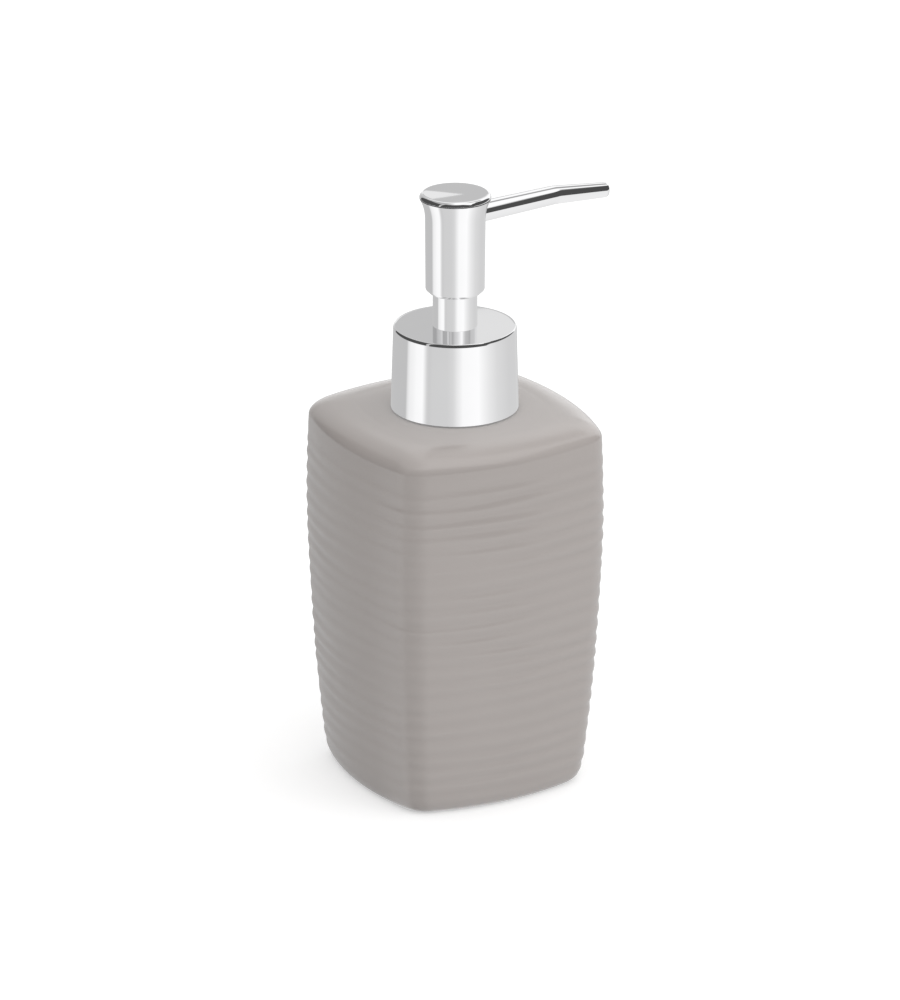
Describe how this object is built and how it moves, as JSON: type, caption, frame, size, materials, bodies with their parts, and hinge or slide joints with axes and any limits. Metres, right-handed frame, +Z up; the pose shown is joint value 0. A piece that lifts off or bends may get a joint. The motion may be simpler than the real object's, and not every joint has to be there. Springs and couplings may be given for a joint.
{
  "type": "soap dispenser",
  "caption": "Ribbed, rounded-square ceramic soap dispenser with a tall chrome press-top pump, a slim side spout, a screw collar and a dip tube.",
  "frame": {"origin": "middle of the bottle's flat base, on the pump's axis", "axes": "+Z up along the pump's axis, +X along the spout, +Y across the spout"},
  "size_m": [0.0863, 0.0748, 0.1743],
  "materials": {
    "glazed_ceramic": "satin glaze",
    "bright_chrome": "mirror bright",
    "white_plastic": "moulded",
    "milky_plastic": "natural polymer",
    "grey_seal": "soft",
    "spring_steel": "drawn wire",
    "polished_steel": "polished"
  },
  "bodies": {
    "bottle": {"bottle": "glazed_ceramic", "threaded_neck": "white_plastic"},
    "pump": {"neck_gasket": "grey_seal", "pump_housing": "milky_plastic", "locking_ring": "white_plastic", "guide_sleeve": "bright_chrome", "stem_wiper": "grey_seal", "ball_cage": "white_plastic", "dip_tube": "milky_plastic", "return_spring": "spring_steel"},
    "collar": {"collar_shell": "bright_chrome", "closure_cap": "white_plastic"},
    "plunger": {"piston": "milky_plastic"},
    "head": {"head_shell": "bright_chrome", "head_cap": "bright_chrome", "head_core": "white_plastic", "spout_tube": "bright_chrome", "stem": "white_plastic", "piston_rod": "white_plastic"},
    "valve": {"inlet_ball": "polished_steel"}
  },
  "joints": [
    {"name": "pump_lift", "type": "slide", "parent": "bottle", "child": "pump", "axis": [0, 0, 1], "range_m": [0, 0.13]},
    {"name": "collar_turn", "type": "hinge", "parent": "pump", "child": "collar", "pos_m": [0, 0, 0.1109], "axis": [0, 0, 1], "range_deg": [0, 450]},
    {"name": "head_press", "type": "slide", "parent": "pump", "child": "plunger", "axis": [0, 0, -1], "range_m": [0, 0.0095], "stiffness_N_per_m": 700, "springref_m": -0.006, "deforming": ["return_spring"]},
    {"name": "head_turn", "type": "hinge", "parent": "plunger", "child": "head", "pos_m": [0, 0, 0.1451], "axis": [0, 0, 1], "continuous": true},
    {"name": "inlet_ball_lift", "type": "slide", "parent": "pump", "child": "valve", "axis": [0, 0, 1], "range_m": [0, 0.0016]}
  ]
}
